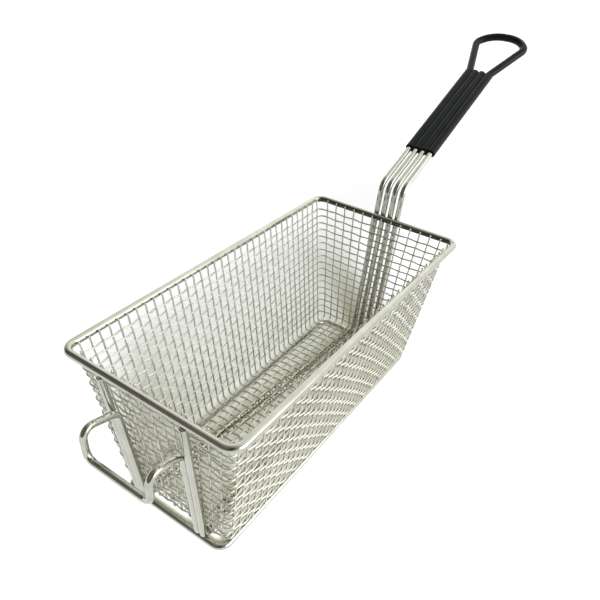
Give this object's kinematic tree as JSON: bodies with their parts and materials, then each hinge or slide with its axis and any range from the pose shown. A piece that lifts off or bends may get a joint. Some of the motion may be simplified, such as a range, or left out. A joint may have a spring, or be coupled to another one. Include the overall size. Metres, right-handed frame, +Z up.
{
  "type": "deep fryer basket",
  "caption": "Rectangular woven wire deep fryer basket in a rod frame, with a front hook and a long black coated rod handle that ends in a loop.",
  "frame": {"origin": "on the floor under the middle of the overall length, hook and handle included, on the basket's centre plane", "axes": "+X across the basket, +Y from the front hook towards the handle, +Z up; the basket stands on its bottom frame rod at z = 0"},
  "size_m": [0.165, 0.6354, 0.2847],
  "materials": {
    "plated_rod": "polished",
    "plated_mesh": "polished",
    "grip_coating": "satin"
  },
  "bodies": {
    "root": {"rim_rod": "plated_rod", "bottom_frame_rod": "plated_rod", "handle_rod": "plated_rod", "hook_rod": "plated_rod", "back_cross_wire": "plated_rod", "grip_coating": "grip_coating", "left_wall_wires": "plated_mesh", "right_wall_wires": "plated_mesh", "front_wall_wires": "plated_mesh", "back_wall_wires": "plated_mesh", "wall_rings": "plated_mesh", "bottom_cross_wires": "plated_mesh", "bottom_long_wires": "plated_mesh"}
  },
  "joints": []
}
